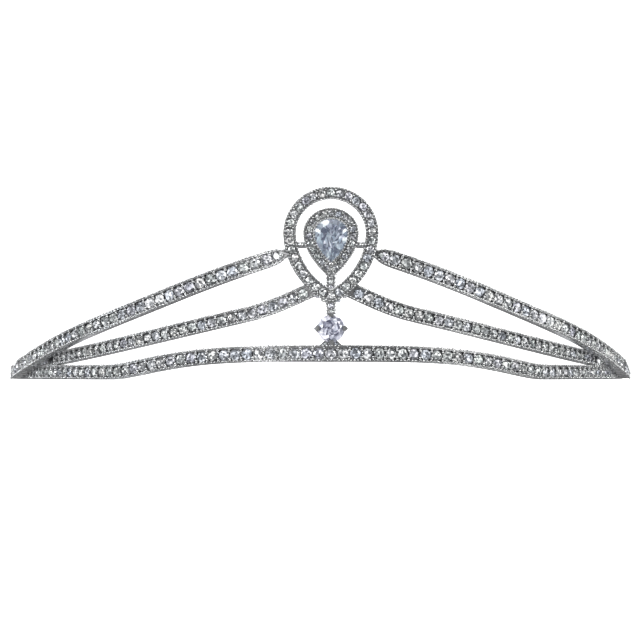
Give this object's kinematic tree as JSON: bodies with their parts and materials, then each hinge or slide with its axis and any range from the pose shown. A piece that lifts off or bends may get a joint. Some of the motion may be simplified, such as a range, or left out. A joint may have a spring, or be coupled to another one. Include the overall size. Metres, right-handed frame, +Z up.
{
  "type": "diadem",
  "caption": "Arched white-metal diadem: stone-set bands run from a drop-shaped ornament with a pear stone down to a curved lower band worn across the head.",
  "frame": {"origin": "middle of the bounding box in X and Y, on the surface that the diadem rests on", "axes": "+X to the wearer's left across the arc, -Y is the front with the ornament, +Z up"},
  "size_m": [0.135, 0.0878, 0.0388],
  "materials": {
    "white_metal": "polished white gold, slightly worn",
    "white_stone": "faceted and polished, colourless",
    "pale_blue_stone": "faceted and polished, pale grey-blue",
    "pale_violet_stone": "faceted and polished, pale violet-blue"
  },
  "bodies": {
    "root": {"frame": "white_metal", "lower_stones": "white_stone", "middle_stones_left": "white_stone", "middle_stones_right": "white_stone", "upper_stones_left": "white_stone", "upper_stones_right": "white_stone", "pear_stone": "pale_blue_stone", "round_stone": "pale_violet_stone"}
  },
  "joints": []
}
